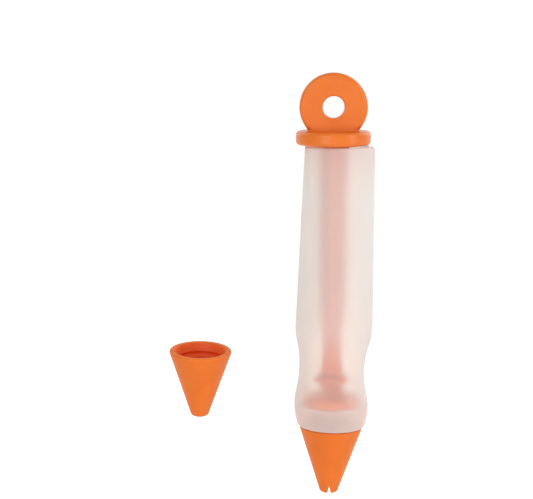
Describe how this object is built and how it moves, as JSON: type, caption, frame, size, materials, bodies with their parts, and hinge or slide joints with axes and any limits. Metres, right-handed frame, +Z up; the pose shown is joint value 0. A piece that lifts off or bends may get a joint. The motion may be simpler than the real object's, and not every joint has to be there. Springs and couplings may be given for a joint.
{
  "type": "icing pen",
  "caption": "Hand icing pen with a soft waisted barrel, a ring-handled plunger with a wiper piston, a cone nozzle pushed on the snout and a loose spare nozzle.",
  "frame": {"origin": "centre of the hole in the ring handle, midway through its thickness", "axes": "+Z up along the plunger to the top of the ring, +Y through the ring's hole to the back, +X to the right of the pen seen from the front"},
  "size_m": [0.0801, 0.0373, 0.1646],
  "materials": {
    "orange_plastic": "matt orange moulding",
    "orange_silicone": "matt orange silicone",
    "frosted_silicone": "frosted translucent silicone"
  },
  "bodies": {
    "plunger": {"ring_handle": "orange_plastic", "plunger_rod": "orange_plastic", "piston": "orange_silicone"},
    "barrel": {"barrel": "frosted_silicone"},
    "nozzle": {"nozzle": "orange_silicone"},
    "spare_nozzle": {"spare_nozzle": "orange_silicone"}
  },
  "joints": [
    {"name": "barrel_slide", "type": "slide", "parent": "plunger", "child": "barrel", "axis": [-0.0262, 0, -0.9997], "range_m": [0, 0.104], "deforming": ["piston"]},
    {"name": "nozzle_pull", "type": "slide", "parent": "barrel", "child": "nozzle", "axis": [-0.0262, 0, -0.9997], "range_m": [0, 0.03]},
    {"name": "spare_lift", "type": "slide", "parent": "plunger", "child": "spare_nozzle", "axis": [0, 0, 1], "range_m": [0, 0.03]}
  ]
}
